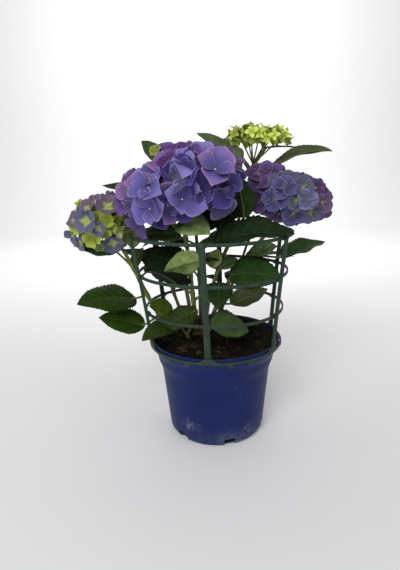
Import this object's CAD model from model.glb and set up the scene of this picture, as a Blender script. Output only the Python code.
"""Potted hydrangea: a flowering shrub in a blue nursery pot with a green clip-on plant support.

The shapes are worked out with numpy in millimetres and written as meshes in metres. The frame's
axes hold: +Z up from the pot's flat underside, -Y to the front, +X to the right.
"""

import bpy
import numpy as np
from mathutils import Matrix


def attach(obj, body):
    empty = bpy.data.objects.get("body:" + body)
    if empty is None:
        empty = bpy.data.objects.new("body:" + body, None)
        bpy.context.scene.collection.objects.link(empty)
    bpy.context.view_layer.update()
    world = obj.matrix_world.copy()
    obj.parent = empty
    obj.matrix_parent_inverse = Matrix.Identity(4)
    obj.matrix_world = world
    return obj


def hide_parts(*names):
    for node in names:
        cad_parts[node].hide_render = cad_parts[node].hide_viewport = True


bl_info = {
    "name": "Potted Hydrangea",
    "version": (1, 0, 0),
    "blender": (4, 5, 0),
    "location": "View3D > Sidebar > Hydrangea",
    "description": "Builds a potted hydrangea and its plant support, one group of pieces at a time",
    "category": "Add Mesh",
}

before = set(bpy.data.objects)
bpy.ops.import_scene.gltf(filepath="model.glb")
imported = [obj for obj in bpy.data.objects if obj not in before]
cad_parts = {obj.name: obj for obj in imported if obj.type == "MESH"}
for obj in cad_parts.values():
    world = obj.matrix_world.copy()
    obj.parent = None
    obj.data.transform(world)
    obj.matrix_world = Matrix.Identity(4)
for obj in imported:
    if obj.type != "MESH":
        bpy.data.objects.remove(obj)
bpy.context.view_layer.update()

TAU = 2 * np.pi
GOLDEN_ANGLE = np.pi * (3 - np.sqrt(5))
VEIN_PAIRS = 8
VEIN_SWEEP = 0.17
TILE_MARGIN = 0.02

# Each shoot: a curve from the woody foot to the tip, radii at foot and tip, and its leaves.
# A leaf row is: place along the stem; petiole azimuth, rise, length;
# blade azimuth, rise, length; droop, roll, width over length, fold.
SHOOTS = {
    "main": {
        "curve": [[-20, 0, 100], [-24, -4, 170], [-30, -30, 238]],
        "radii": [3.2, 2.2],
        "tints": "moss dark/dark deep deep bright pale dark bright moss deep",
        "leaves": [
            [0.35, 106, 31, 34, -4, -10, 40, 45, -2, 0.81, 16],
            [0.41, -72, 31, 15, -37, 44, 52.5, 27, 8, 0.86, 14],
            [0.56, -89, 44, 9.5, -117, 26, 57.5, 22, -24, 0.88, 16],
            [0.71, 42, 28, 42, 81, 16, 77, 23, 26, 0.59, 28],
            [0.86, -68, 21, 5, -95, 9, 47.5, 21, -33, 0.56, 22],
            [0.88, -21, 38, 24, 55, -4, 38, 20, 35, 0.85, 20],
            [0.91, 150, 16, 21, 79, 20, 50.5, 18, 42, 0.65, 15],
        ],
    },
    "left": {
        "curve": [[-27, 1, 100], [-69, -12, 122], [-73, -14, 180], [-103, -11, 221]],
        "radii": [3.0, 2.2],
        "tints": "grass grass deep moss olive",
        "leaves": [
            [0.36, -71.4, -34.9, 19.4, -88, 20, 50, 14, -40, 0.64, 15],
            [0.54, -132.2, -24.7, 19.7, -62, 17, 65, 28, -20, 0.78, 10],
            [0.66, 148.3, 31.7, 11.3, 130, 0, 50, 40, 10, 0.62, 15],
            [0.75, -81, 50.6, 24, -85, 13, 40, 8, -38, 0.56, 16],
        ],
    },
    "right": {
        "curve": [[-11, 7, 100], [10, 14, 175], [52, 20, 206], [76, 20, 234]],
        "radii": [3.0, 2.2],
        "tints": "mid green mid fresh deep",
        "leaves": [
            [0.2, 81, -4, 15, 76, 28, 45, 4, -47, 0.86, 13],
            [0.36, -9, 39, 12.6, 72, 14, 58.5, 36, 59, 0.66, 18],
            [0.58, 77, -7, 36, 105, 20, 54.8, 9, 10, 0.74, 27],
            [0.63, -18, -24, 11.5, 92, 29, 30, 27, 42, 0.67, 19],
            [0.85, -170, 30, 12, -170, 10, 54, 40, 0, 0.6, 15],
        ],
    },
    "young": {
        "curve": [[-9, 0, 100], [-18, 4, 170], [42, 26, 230], [46, 40, 290]],
        "radii": [2.8, 1.8],
        "tints": "silver/silver silver/silver deep/moss fresh soft soft deep bright",
        "leaves": [
            [0.4, -25, 21.9, 46.1, -79, -9, 40, 8, 60, 0.86, 14],
            [0.4, -31.6, 13.9, 16.4, 128, 66, 22, 10, 30, 0.85, 13],
            [0.46, 40.5, 54.3, 55.1, -46, 84, 45.5, 21, 27, 0.62, 30],
            [0.91, 108.6, 23.8, 26, 76, 37, 69.6, 49, -23, 0.27, 28],
            [0.96, -99.8, 55.1, 20.7, -95, 27, 55, 1, -29, 0.56, 14],
            [0.94, -64, 51.1, 36.4, -6, -26, 35.5, 60, -6, 0.64, 21],
            [0.97, 95.4, 58.8, 26.5, 95, 6, 40, 18, 0, 0.32, 10],
            [0.4, 0.8, 15.6, 14.9, 100, 28, 22.5, 12, 49, 0.68, 16],
        ],
    },
    "blind": {
        "curve": [[-23, 10, 100], [-34, 24, 180], [-46, 20, 240], [-50, 20, 304]],
        "radii": [2.8, 1.6],
        "tints": "deep moss deep mid deep",
        "leaves": [
            [0.55, 95, 30, 11, 95, 20, 54, 40, 0, 0.6, 15],
            [0.72, -95, 32, 24, -95, 11, 54, 5, -20, 0.45, 15],
            [0.62, -150, 30, 16, -150, 20, 52, 50, 0, 0.6, 15],
            [0.9, -80, 66, 10, -95, 56, 30, 20, -45, 0.75, 15],
            [0.9, 100, 30, 8, 100, 25, 40, 50, 0, 0.6, 15],
        ],
    },
    "back": {
        "curve": [[-16, 12, 100], [-14, 40, 160], [-20, 62, 230]],
        "radii": [3.0, 2.2],
        "tints": "deep moss green deep mid",
        "leaves": [
            [0.5, -150, 30, 16, -150, 20, 60, 50, 0, 0.62, 15],
            [0.5, 40, 30, 6, 40, 20, 28, 50, 0, 0.62, 15],
            [0.78, 110, 30, 18, 108, 15, 60, 45, 0, 0.62, 15],
            [0.78, -65, 30, 18, -65, 15, 54, 45, 0, 0.62, 15],
            [0.9, 180, 30, 16, 180, 10, 59, 50, 0, 0.62, 15],
        ],
    },
    "rear_right": {
        "curve": [[-9, 12, 100], [20, 40, 140], [44, 56, 206]],
        "radii": [2.6, 1.8],
        "tints": "deep moss green mid bright",
        "leaves": [
            [0.5, 155, 30, 14, 155, 25, 58, 50, 0, 0.62, 15],
            [0.75, 100, 30, 14, 100, 20, 58, 45, 0, 0.62, 15],
            [0.75, -110, 30, 14, -110, 20, 44, 45, 0, 0.62, 15],
            [0.98, 150, 50, 10, 150, 25, 61, 50, 0, 0.62, 15],
            [0.98, 10, 50, 10, 8, 35, 40, 50, 0, 0.62, 15],
        ],
    },
    "rear_left": {
        "curve": [[-26, 9, 100], [-46, 36, 140], [-66, 50, 206]],
        "radii": [2.6, 1.8],
        "tints": "mid moss green deep",
        "leaves": [
            [0.5, 178, 30, 14, 178, 25, 56, 50, 0, 0.62, 15],
            [0.75, -85, 25, 6, -78, 38, 52, 25, -20, 0.55, 15],
            [0.98, 160, 50, 10, 160, 25, 60, 50, 12, 0.62, 15],
            [0.98, -50, 45, 16, -48, 20, 44, 50, 0, 0.62, 15],
        ],
    },
    "low_left": {
        "curve": [[-26, -5, 100], [-34, -10, 118], [-42, -14, 128]],
        "radii": [2.2, 1.6],
        "tints": "olive olive yellow",
        "leaves": [
            [0.3, 58, 65, 34.5, -79, -18, 47, 20, -38, 0.56, 16],
            [0.87, -62, -20, 4.5, -43, 14, 47, 38, -33, 0.5, 20],
            [0.99, -140, 40, 8.5, -67, 48, 30, 39, -38, 1.03, 16],
        ],
    },
    "low_front": {
        "curve": [[-13, -6, 100], [-8, -12, 114], [-4, -20, 124]],
        "radii": [2.2, 1.6],
        "tints": "bright",
        "leaves": [
            [0.8, 2, 29, 20, 102, 5, 42.5, 40, 24, 1.05, 16],
        ],
    },
}

# Small leaves between the others, too fine for the solids, in rows as above.
SMALL_LEAVES = {
    "left": [
        [0.73, -90, 48.8, 3.4, 75, 62, 26, 10, 60, 0.65, 15],
    ],
    "main": [
        [0.8, 30, 12, 25, 92, 4, 46, 14, 20, 0.5, 20],
        [0.62, 120, 30, 8, 110, 15, 30, 25, 0, 0.6, 15],
        [0.78, -150, 25, 8, -140, 10, 34, 25, 0, 0.6, 15],
    ],
}

# Flower heads: the shoot that carries each, its centre and half sizes, its tilt, how far down its
# sides florets grow in degrees from the top, how deep its outer florets lie, and its floret counts.
HEADS = {
    "main": {"centre": [-33, -34, 270], "half": [61, 54, 36], "tilt": 18, "skirt": 106, "depth": 0.74,
             "outer": 62, "inner": 44},
    "left": {"centre": [-113, -8, 237], "half": [33, 34, 26], "tilt": 0, "skirt": 124, "depth": 0.82,
             "outer": 84, "inner": 40},
    "right": {"centre": [83, 20, 256], "half": [46, 39, 27], "tilt": -20, "skirt": 116, "depth": 0.77,
             "outer": 84, "inner": 40},
    "back": {"centre": [-20, 66, 262], "half": [46, 42, 32], "tilt": 0, "skirt": 112, "depth": 0.84,
             "outer": 50, "inner": 34},
}

# Corners of the room that the florets keep to.
REACH = np.array([[-151.5, -89.8, 100], [129.3, 127, 333.5]])

YOUNG_HEAD = {"centre": [53, 40, 325], "half": [34, 28], "clusters": 6, "reach": 0.74, "fork": 0.6}

# Florets of the front that have a place of their own. A row of the main head is: middle from the
# head's centre; facing azimuth and rise, turn; four petal lengths; colour. A row of the side heads is:
# middle from the head's centre; span; colour.
FLORETS = {
    "main": [
        ([3, -44, -10], [24, 13, 89], [17, 15, 12, 19], "blue"),
        ([-11, -41, -15], [42, 7, 81], [14, 22, 18, 12], "rimmed"),
        ([-22, -37, -17], [-38, -1, 18], [18, 16, 20, 12], "blue"),
        ([-35, -8, -31], [-46, -37, 51], [18, 13, 16, 14], "violet"),
        ([32, -35, 12], [30, 48, 81], [21, 17, 19, 15], "rimmed"),
        ([21, -41, -3], [23, 13, 13], [10, 20, 12, 12], "dusk"),
        ([34, -29, -8], [24, -29, 51], [15, 13, 14, 21], "slate"),
        ([40, -28, -1], [31, -3, 71], [15, 14, 18, 10], "dusk"),
        ([-22, -42, -1], [-44, 24, 81], [14, 19, 10, 16], "blue"),
        ([-27, -28, 12], [-17, 36, 72], [11, 11, 10, 16], "blue"),
        ([-46, -17, 0], [-31, 22, 44], [12, 11, 13, 13], "pink"),
        ([-54, -8, -13], [-45, -10, 9], [16, 10, 10, 11], "violet"),
        ([-42, -24, -15], [-32, -7, 38], [14, 10, 10, 12], "slate"),
        ([-9, -45, 2], [-31, 38, 23], [21, 10, 10, 10], "green"),
        ([-5, -34, 21], [-18, -2, 9], [10, 10, 10, 12], "magenta"),
        ([7, -36, 21], [27, 45, 88], [13, 10, 17, 10], "light"),
        ([-13, -22, 25], [-35, 48, 30], [11, 12, 10, 17], "pink"),
        ([2, -13, 31], [-42, 49, 82], [10, 11, 18, 17], "magenta"),
        ([15, -27, 27], [15, 28, 62], [10, 10, 11, 10], "violet"),
        ([24, -17, 30], [16, 57, 17], [10, 14, 10, 16], "light"),
        ([31, -8, 27], [25, 42, 70], [12, 12, 14, 12], "magenta"),
        ([47, -3, 20], [51, 32, 52], [16, 12, 20, 13], "mauve"),
        ([7, -43, 12], [-31, 30, 51], [11, 13, 10, 14], "dusk"),
        ([-33, -33, 5], [-37, 20, 60], [11, 15, 10, 14], "pink"),
        ([54, -4, 4], [56, -17, 8], [10, 10, 18, 10], "dusk"),
        ([-21, -4, 33.5], [-20, 30, 45], [6, 6, 6, 6], "lime"),
        ([-10, -5, 31], [-10, 50, 30], [10, 11, 10, 10], "violet"),
        ([-17, -30, -24], [-10, -10, 45], [12, 13, 13, 12], "dusk"),
        ([4, -30, -20], [10, -12, 40], [11, 12, 12, 11], "dusk"),
    ],
    "left": [
        ([-9, -28, 3], 22, "slate"), ([1, -28, -4], 14, "slate"), ([-29, -10, -13], 17, "slate"),
        ([12, -17, -19], 21, "slate"), ([25, -4, -15], 24, "olive"), ([-7, -22, -14], 17, "lime"),
        ([11, -23, 15], 22, "mauve"), ([15, -10, 20], 14, "mauve"), ([7, -4, 22], 14, "mauve"),
        ([-2, -12, 19], 14, "mauve"), ([-9, -22, 14], 15, "mauve"), ([-23, -18, 4], 14, "mauve"),
        ([24, -14, 12], 16, "olive"), ([30, 3, -6], 17, "olive"), ([-20, -16, -18], 15, "slate"),
        ([1, -14, -22], 15, "olive"), ([-21, -20, -4], 12, "lime"),
    ],
    "right": [
        ([-32, -17, -2], 26, "violet"), ([-20, -28, -1], 25, "slate"), ([-12, -31, 9], 24, "slate"),
        ([-18, -25, 14], 22, "grey"), ([-4, -25, 15], 22, "grey"), ([7, -29, 9], 22, "grey"),
        ([0, -33, -3], 22, "grey"), ([-1, -26, -16], 26, "slate"), ([11, -32, -2], 22, "pale"),
        ([16, -25, -15], 24, "grey"), ([-22, -9, 23], 25, "violet"), ([-35, -5, 23], 24, "plum"),
        ([-37, -5, 4], 25, "plum"), ([-33, -12, 14], 28, "violet"), ([-36, -3, -6], 21, "plum"),
        ([-16, -3, 26], 19, "plum"), ([21, -23, 8], 20, "plum"), ([30, -13, 4], 18, "plum"),
        ([28, -24, -6], 21, "mauve"), ([36, -9, -8], 17, "mauve"), ([34, -9, -17], 17, "mauve"),
        ([25, -17, -17], 20, "mauve"), ([13, -6, -23], 19, "slate"), ([-6, -3, -21], 18, "slate"),
        ([-13, -12, -17], 20, "violet"), ([-25, -16, -10], 19, "violet"), ([5, -4, 17], 18, "violet"),
        ([13, -14, 14], 18, "plum"), ([-24, -20, 9], 24, "violet"),
    ],
}


# Settings shown in the sidebar


def length(name, description, millimetres):
    metres = millimetres / 1000
    return bpy.props.FloatProperty(
        name=name, description=description, default=metres, min=0.0, unit="LENGTH", subtype="DISTANCE")


def colour(name, description, default):
    return bpy.props.FloatVectorProperty(
        name=name, description=description, default=default, size=3, min=0.0, max=1.0, subtype="COLOR")


def count(name, description, default):
    return bpy.props.IntProperty(name=name, description=description, default=default, min=1)


def share(name, description, default):
    return bpy.props.FloatProperty(
        name=name, description=description, default=default, min=0.0, subtype="FACTOR")


def power(name, description, watts):
    return bpy.props.FloatProperty(name=name, description=description, default=watts, unit="POWER")


class PotSettings(bpy.types.PropertyGroup):
    height: length("Height", "From the underside to the top of the lip", 108)
    wall: length("Wall", "Thickness of the moulded wall", 1.6)
    lip_radius: length("Lip radius", "Outer radius of the lip", 70.4)
    foot_radius: length("Foot radius", "Outer radius where the pot stands", 49.5)
    plastic: colour("Plastic", "Deep blue moulded plastic", (0.006, 0.015, 0.094))
    dust: colour("Dust", "Dried water marks and potting dust", (0.24, 0.25, 0.30))


class SoilSettings(bpy.types.PropertyGroup):
    top: length("Soil top", "Height of the soil's surface", 100)
    crumbs: count("Crumbs", "Lumps of peat on the surface", 900)
    fibres: count("Fibres", "Loose strands on the surface", 220)
    peat: colour("Peat", "Damp peat", (0.0085, 0.007, 0.0045))
    fibre: colour("Fibre", "Reddish brown strands and chips", (0.0902, 0.0588, 0.033))


class SupportSettings(bpy.types.PropertyGroup):
    upright_width: length("Upright width", "Width of each upright", 6.2)
    hoop_height: length("Hoop height", "Height of a hoop's section", 3.4)
    thickness: length("Thickness", "Thickness of uprights and hoops", 1.6)
    plastic: colour("Plastic", "Muted green moulded plastic", (0.0225, 0.043, 0.029))


class PlantSettings(bpy.types.PropertyGroup):
    leaf_thickness: length("Leaf thickness", "Thickness of a leaf beside its midrib", 0.5)
    tooth: share("Tooth depth", "Depth of the margin's teeth as a share of the half width", 0.12)
    dark: colour("Dark leaf", "Upper side of the leaves deep inside", (0.006, 0.013, 0.0052))
    deep: colour("Deep leaf", "Upper side of the darker leaves", (0.0082, 0.02, 0.0054))
    moss: colour("Moss leaf", "Upper side of the leaves low in front", (0.016, 0.037, 0.0092))
    green: colour("Green leaf", "Upper side of leaves on the right", (0.0215, 0.056, 0.0115))
    grass: colour("Grass leaf", "Upper side of the outer leaves low on the left", (0.0165, 0.042, 0.0024))
    mid: colour("Middle leaf", "Upper side of most leaves", (0.035, 0.07, 0.0215))
    olive: colour("Olive leaf", "Upper side of ageing leaves", (0.025, 0.043, 0.0082))
    yellow: colour("Yellow leaf", "Upper side of the oldest leaf", (0.06, 0.09, 0.0115))
    bright: colour("Bright leaf", "Upper side of half grown leaves", (0.054, 0.093, 0.03))
    soft: colour("Soft leaf", "Upper side of the leaves under the young head", (0.076, 0.112, 0.049))
    fresh: colour("Fresh leaf", "Upper side of young leaves", (0.115, 0.18, 0.062))
    pale: colour("Pale leaf", "Upper side of the palest young leaves", (0.22, 0.31, 0.115))
    silver: colour("Silver leaf", "Side of the leaf that shows its pale back", (0.28, 0.37, 0.125))
    under: colour("Leaf underside", "Pale underside", (0.09, 0.12, 0.05))
    stem: colour("Stem", "Young green stems", (0.095, 0.12, 0.028))
    bark: colour("Bark", "Woody foot", (0.062, 0.046, 0.018))


class BloomSettings(bpy.types.PropertyGroup):
    main_span: length("Main floret", "Span of a floret of the largest head", 37)
    left_span: length("Left floret", "Span of a small floret of the left head", 15)
    right_span: length("Right floret", "Span of a floret of the right head", 24)
    back_span: length("Back floret", "Span of a floret of the back head", 30)
    young_span: length("Young floret", "Span of a floret of the young head", 15)
    blue: colour("Blue", "Periwinkle blue petals", (0.1, 0.092, 0.32))
    light: colour("Light blue", "Pale lilac blue petals", (0.215, 0.185, 0.48))
    violet: colour("Violet", "Violet petals", (0.095, 0.058, 0.215))
    dusk: colour("Dusk", "Dark violet petals deep in a head", (0.04, 0.03, 0.14))
    pink: colour("Pink", "Pink lilac petals and rims", (0.24, 0.125, 0.29))
    magenta: colour("Magenta", "Backs of cupped petals", (0.08, 0.028, 0.13))
    mauve: colour("Mauve", "Fading mauve petals", (0.115, 0.065, 0.135))
    slate: colour("Slate", "Grey blue petals", (0.058, 0.06, 0.165))
    grey: colour("Grey", "Grey petals with a green breath", (0.1, 0.118, 0.165))
    plum: colour("Plum", "Dark purple petals", (0.062, 0.03, 0.085))
    lime: colour("Lime", "Young green petals", (0.29, 0.36, 0.055))
    cream: colour("Cream", "Creamy green petals", (0.48, 0.53, 0.21))
    eye: colour("Eye", "Pale floret centres", (0.45, 0.45, 0.33))


class StageSettings(bpy.types.PropertyGroup):
    floor: colour("Floor", "Plain pale floor", (0.86, 0.86, 0.86))
    key: power("Key light", "Power of the main soft light", 17.0)
    fill: power("Fill light", "Power of the fill light", 2.0)
    back: power("Backdrop light", "Power of the light on the backdrop", 26.0)
    sky: share("Surround", "Strength of the even light from all round", 0.40)


class HydrangeaSettings(bpy.types.PropertyGroup):
    pot: bpy.props.PointerProperty(type=PotSettings)
    soil: bpy.props.PointerProperty(type=SoilSettings)
    support: bpy.props.PointerProperty(type=SupportSettings)
    plant: bpy.props.PointerProperty(type=PlantSettings)
    bloom: bpy.props.PointerProperty(type=BloomSettings)
    stage: bpy.props.PointerProperty(type=StageSettings)


# Shapes


def mm(value):
    """A setting in metres, in millimetres."""
    return value * 1000


def unit(vectors):
    """Vectors divided by their own lengths."""
    return vectors / np.linalg.norm(vectors, axis=-1, keepdims=True)


def smooth(low, high, values):
    """Rises from 0 to 1 between low and high along the cubic 3t^2 - 2t^3."""
    t = np.clip((values - low) / (high - low), 0, 1)
    return t * t * (3 - 2 * t)


def together(*parts):
    """Arrays spread to one shape and laid side by side along a new last axis."""
    return np.stack(np.broadcast_arrays(*parts), axis=-1)


def around(radius, angle, height):
    """Points at a radius, at an angle in radians from +X towards +Y, and at a height."""
    return together(radius * np.cos(angle), radius * np.sin(angle), height)


def heading(azimuth, rise):
    """Unit direction: azimuth in degrees from the front towards +X, rise in degrees above level."""
    a, e = np.radians(azimuth), np.radians(rise)
    return together(np.cos(e) * np.sin(a), -np.cos(e) * np.cos(a), np.sin(e))


def swell(u, low, high):
    """The power low of the place times the power high of what is left, divided by its greatest value."""
    peak = low / (low + high)
    return u**low * (1 - u) ** high / (peak**low * (1 - peak) ** high)


def waves(points, size, seed, octaves=4):
    """Bumps: in each octave five sines run along seeded directions, half as long and half as high."""
    rng = np.random.default_rng(seed)
    total = np.zeros(points.shape[:-1])
    for octave in range(octaves):
        across = unit(rng.normal(size=(5, 3)))
        phase = rng.uniform(0, TAU, 5)
        total += np.sin(points @ across.T * (TAU * 2**octave / size) + phase).sum(-1) / (5 * 2**octave)
    return total


def run_along(path):
    """How far along a path each of its points lies."""
    return np.concatenate([[0], np.cumsum(np.linalg.norm(np.diff(path, axis=0), axis=1))])


def bezier(corners, t):
    """Points and unit tangents of Bezier curves at places t. Each corner is blended with the next until
    two are left: the point is their blend, and the tangent runs from one to the other."""
    p = np.stack(np.broadcast_arrays(*corners)).astype(float)[..., None, :]
    t = np.asarray(t, float)[:, None]
    while len(p) > 2:
        p = p[:-1] * (1 - t) + p[1:] * t
    return p[0] * (1 - t) + p[1] * t, unit(p[1] - p[0])


def round_tube(centre, tangent, radius, sides):
    """Rings round a path: each point is the centre plus its radius times cos and sin of two normals."""
    sideways = np.abs(tangent[..., :1, 1:2]) < 0.7
    reference = np.where(sideways, [0.0, 1.0, 0.0], [1.0, 0.0, 0.0])
    side = unit(np.cross(reference, tangent))
    front = np.cross(tangent, side)
    angle = TAU * np.arange(sides)[:, None] / sides
    ring = np.cos(angle) * side[..., None, :] + np.sin(angle) * front[..., None, :]
    return centre[..., None, :] + ring * np.asarray(radius)[..., None, None]


def stalk(corners, first_radius, last_radius, steps, sides):
    """Round tubes along Bezier curves, tapering evenly from the first radius to the last."""
    centre, tangent = bezier(corners, np.linspace(0, 1, steps))
    return round_tube(centre, tangent, np.linspace(first_radius, last_radius, steps), sides)


def ball(centres, axes, radius, height, steps=8, sides=8):
    """Small balls as rings: radius times the sine and height times the cosine of the polar angle."""
    polar_angle = np.pi * np.linspace(0.97, 0.03, steps)
    axes = np.broadcast_to(axes, centres.shape)[:, None]
    path = centres[:, None] + axes * (height * np.cos(polar_angle))[:, None]
    return round_tube(path, axes, radius * np.sin(polar_angle), sides)


def both_sides(across):
    """Places across a blade's upper side and back under it, with 1 for upper and -1 for under."""
    return np.concatenate([across, -across]), np.repeat([1.0, -1.0], len(across))


def tube_map(steps, sides):
    """A tube's own map: length runs one way, and half way round and back the other."""
    return together(np.linspace(0, 1, steps)[:, None], np.abs(2 * np.arange(sides) / sides - 1))


def rounded(corners, radius, steps=4):
    """A profile whose inner corners are each replaced by a quadratic arc of the given reach."""
    p = np.asarray(corners, float)
    before, corner, after = p[:-2], p[1:-1], p[2:]
    room = np.minimum(*(np.linalg.norm(other - corner, axis=1) for other in (before, after)))
    reach = np.minimum(radius, 0.45 * room)[:, None]
    start, end = (corner + unit(other - corner) * reach for other in (before, after))
    arcs, _ = bezier([start, corner, end], np.linspace(0, 1, steps))
    return np.concatenate([p[:1], arcs.reshape(-1, 2), p[-1:]])


def spread(number, skirt):
    """Places over a sphere's upper part: even steps in height, each turned by the golden angle."""
    i = np.arange(number)
    height = 1 - (1 - np.cos(np.radians(skirt))) * (i + 0.5) / number
    return around(np.sqrt(1 - height**2), i * GOLDEN_ANGLE, height)


class Skin:
    """Closed tubes and loops gathered as whole arrays, then written into one mesh."""

    def __init__(self):
        self.points, self.maps, self.total = [], [], 0
        self.faces = {4: [], 3: []}
        self.slots = {4: [], 3: []}

    def tubes(self, rings, slot=0, own_map=None, loop=False):
        """Quads join ring to ring. A loop joins its last ring to its first, and any other tube
        closes each end with a fan about the middle of the end ring.

        rings has the shape (tubes, rings, points, 3), and slot is one number, one for each tube,
        or one for each tube and column."""
        rings = rings[None] if rings.ndim == 3 else rings
        batch, n, m = rings.shape[:3]
        own_map = np.broadcast_to(tube_map(n, m) if own_map is None else own_map, (batch, n, m, 2))
        slot = np.asarray(slot)
        slot = np.broadcast_to(slot if slot.ndim == 2 else slot.reshape(-1, 1), (batch, m))
        rows = n if loop else n - 1
        row, j = np.ogrid[:rows, :m]
        here, above, k = row * m, (row + 1) % n * m, (j + 1) % m
        quads = together(here + j, here + k, above + k, above + j).reshape(-1, 4)
        points, maps, size = rings.reshape(batch, n * m, 3), own_map.reshape(batch, n * m, 2), n * m
        if not loop:
            ends = [0, n - 1]
            points = np.concatenate([points, rings[:, ends].mean(axis=2)], axis=1)
            maps = np.concatenate([maps, own_map[:, ends].mean(axis=2)], axis=1)
            first, last = together(size, k[0], j[0]), together(size + 1, size - m + j[0], size - m + k[0])
            fans = np.concatenate([first, last])
            size += 2
        base = self.total + size * np.arange(batch)[:, None, None]
        self.faces[4].append((quads + base).reshape(-1, 4))
        self.slots[4].append(np.repeat(slot[:, None], rows, axis=1).ravel())
        if not loop:
            self.faces[3].append((fans + base).reshape(-1, 3))
            self.slots[3].append(np.tile(slot, 2).ravel())
        self.points.append(points.reshape(-1, 3))
        self.maps.append(maps.reshape(-1, 2))
        self.total += size * batch

    def build(self, name, finishes, slot_name, nodes, flat=False, mapped=False):
        """Writes the mesh, lays each slot's faces in its own tile of the bake map, and makes the
        object, which rides on the root body and stands for the given nodes."""
        mesh = bpy.data.meshes.new(name)
        points = np.concatenate(self.points) / 1000
        quads = np.concatenate(self.faces[4])
        fans = np.concatenate(self.faces[3] or [np.zeros((0, 3), int)])
        slots = np.concatenate(self.slots[4] + self.slots[3])
        corners = np.concatenate([quads.ravel(), fans.ravel()]).astype(np.int32)
        starts = np.concatenate([4 * np.arange(len(quads)), 4 * len(quads) + 3 * np.arange(len(fans))])
        mesh.vertices.add(len(points))
        mesh.vertices.foreach_set("co", points.ravel())
        mesh.loops.add(len(corners))
        mesh.loops.foreach_set("vertex_index", corners)
        mesh.polygons.add(len(starts))
        mesh.polygons.foreach_set("loop_start", starts.astype(np.int32))
        mesh.polygons.foreach_set("use_smooth", np.full(len(starts), not flat))
        mesh.polygons.foreach_set("material_index", slots.astype(np.int32))
        mesh.update(calc_edges=True)
        if mapped:
            own = np.concatenate(self.maps)[corners]
            of_corner = np.concatenate([np.repeat(slots[: len(quads)], 4), np.repeat(slots[len(quads) :], 3)])
            across = int(np.ceil(np.sqrt(len(finishes))))
            tile = together(of_corner % across, of_corner // across)
            laid = (tile + TILE_MARGIN + (1 - 2 * TILE_MARGIN) * np.clip(own, 0, 1)) / across
            for map_name, places in (("OFBake", laid), ("own", own)):
                mesh.uv_layers.new(name=map_name).data.foreach_set("uv", places.ravel())
        mesh.validate()
        for finish in finishes:
            mesh.materials.append(finish)
        piece = bpy.data.objects.new(name, mesh)
        bpy.context.scene.collection.objects.link(piece)
        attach(piece, "root")
        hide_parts(*nodes)


# Finishes


def tinted(base, factor):
    return tuple(min(1.0, channel * factor) for channel in base)


def blended(a, b, amount):
    return tuple(p + (q - p) * amount for p, q in zip(a, b))


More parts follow.
